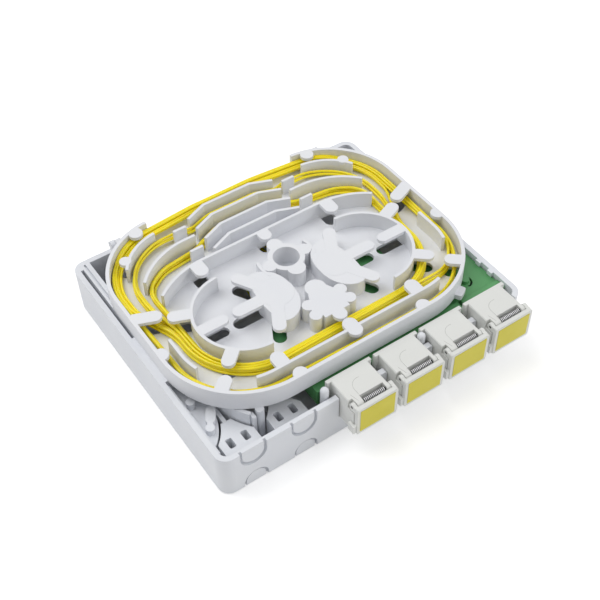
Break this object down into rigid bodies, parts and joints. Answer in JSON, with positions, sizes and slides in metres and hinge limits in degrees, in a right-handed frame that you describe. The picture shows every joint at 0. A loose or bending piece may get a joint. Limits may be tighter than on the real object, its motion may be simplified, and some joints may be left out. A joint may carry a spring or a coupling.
{
  "type": "fibre optic termination box",
  "caption": "Opened wall box that holds coiled fibre in a hinged splice tray and ends it in spring-flapped ports along one edge.",
  "frame": {"origin": "midway between the two wall screws, on the mounting face", "axes": "+X along the wall with the ports, +Y from that wall to the back, +Z out of the mounting face"},
  "size_m": [0.11, 0.1015, 0.0238],
  "materials": {
    "box_plastic": "fine satin moulding, pale grey white",
    "tray_plastic": "fine satin moulding, pale grey white",
    "cover_plastic": "satin green moulding",
    "adapter_plastic": "fine matt moulding, warm light grey",
    "pin_steel": "drawn wire",
    "spring_steel": "bright drawn wire",
    "label_film": "plain yellow film",
    "sleeve_ceramic": "polished white ceramic",
    "plug_plastic": "moulded plug collar and boot",
    "fibre_jacket": "smooth yellow jacket"
  },
  "bodies": {
    "base": {"base_box": "box_plastic", "inner_cover": "cover_plastic", "adapter_1": "adapter_plastic", "sleeve_holder_1": "plug_plastic", "flap_pin_1": "pin_steel", "flap_spring_1": "spring_steel", "ferrule_sleeves_1": "sleeve_ceramic", "pigtail_plugs_1": "plug_plastic", "pigtail_fibres_1": "fibre_jacket", "adapter_2": "adapter_plastic", "sleeve_holder_2": "plug_plastic", "flap_pin_2": "pin_steel", "flap_spring_2": "spring_steel", "ferrule_sleeves_2": "sleeve_ceramic", "pigtail_plugs_2": "plug_plastic", "pigtail_fibres_2": "fibre_jacket", "adapter_3": "adapter_plastic", "sleeve_holder_3": "plug_plastic", "flap_pin_3": "pin_steel", "flap_spring_3": "spring_steel", "ferrule_sleeves_3": "sleeve_ceramic", "pigtail_plugs_3": "plug_plastic", "pigtail_fibres_3": "fibre_jacket", "adapter_4": "adapter_plastic", "sleeve_holder_4": "plug_plastic", "flap_pin_4": "pin_steel", "flap_spring_4": "spring_steel", "ferrule_sleeves_4": "sleeve_ceramic", "pigtail_plugs_4": "plug_plastic", "pigtail_fibres_4": "fibre_jacket"},
    "tray": {"splice_tray": "tray_plastic", "fibre_coil_outer": "fibre_jacket", "fibre_coil_middle": "fibre_jacket", "fibre_coil_inner": "fibre_jacket"},
    "flap_1": {"flap_1": "adapter_plastic", "port_label_1": "label_film"},
    "flap_2": {"flap_2": "adapter_plastic", "port_label_2": "label_film"},
    "flap_3": {"flap_3": "adapter_plastic", "port_label_3": "label_film"},
    "flap_4": {"flap_4": "adapter_plastic", "port_label_4": "label_film"}
  },
  "joints": [
    {"name": "tray_hinge", "type": "hinge", "parent": "base", "child": "tray", "pos_m": [0, 0.04485, 0.0186], "axis": [-1, 0, 0], "range_deg": [0, 95]},
    {"name": "flap_hinge_1", "type": "hinge", "parent": "base", "child": "flap_1", "pos_m": [-0.00865, -0.05115, 0.0184], "axis": [-1, 0, 0], "range_deg": [0, 95], "stiffness_Nm_per_rad": 0.0004},
    {"name": "flap_hinge_2", "type": "hinge", "parent": "base", "child": "flap_2", "pos_m": [0.00845, -0.05115, 0.0184], "axis": [-1, 0, 0], "range_deg": [0, 95], "stiffness_Nm_per_rad": 0.0004},
    {"name": "flap_hinge_3", "type": "hinge", "parent": "base", "child": "flap_3", "pos_m": [0.02555, -0.05115, 0.0184], "axis": [-1, 0, 0], "range_deg": [0, 95], "stiffness_Nm_per_rad": 0.0004},
    {"name": "flap_hinge_4", "type": "hinge", "parent": "base", "child": "flap_4", "pos_m": [0.04265, -0.05115, 0.0184], "axis": [-1, 0, 0], "range_deg": [0, 95], "stiffness_Nm_per_rad": 0.0004}
  ]
}
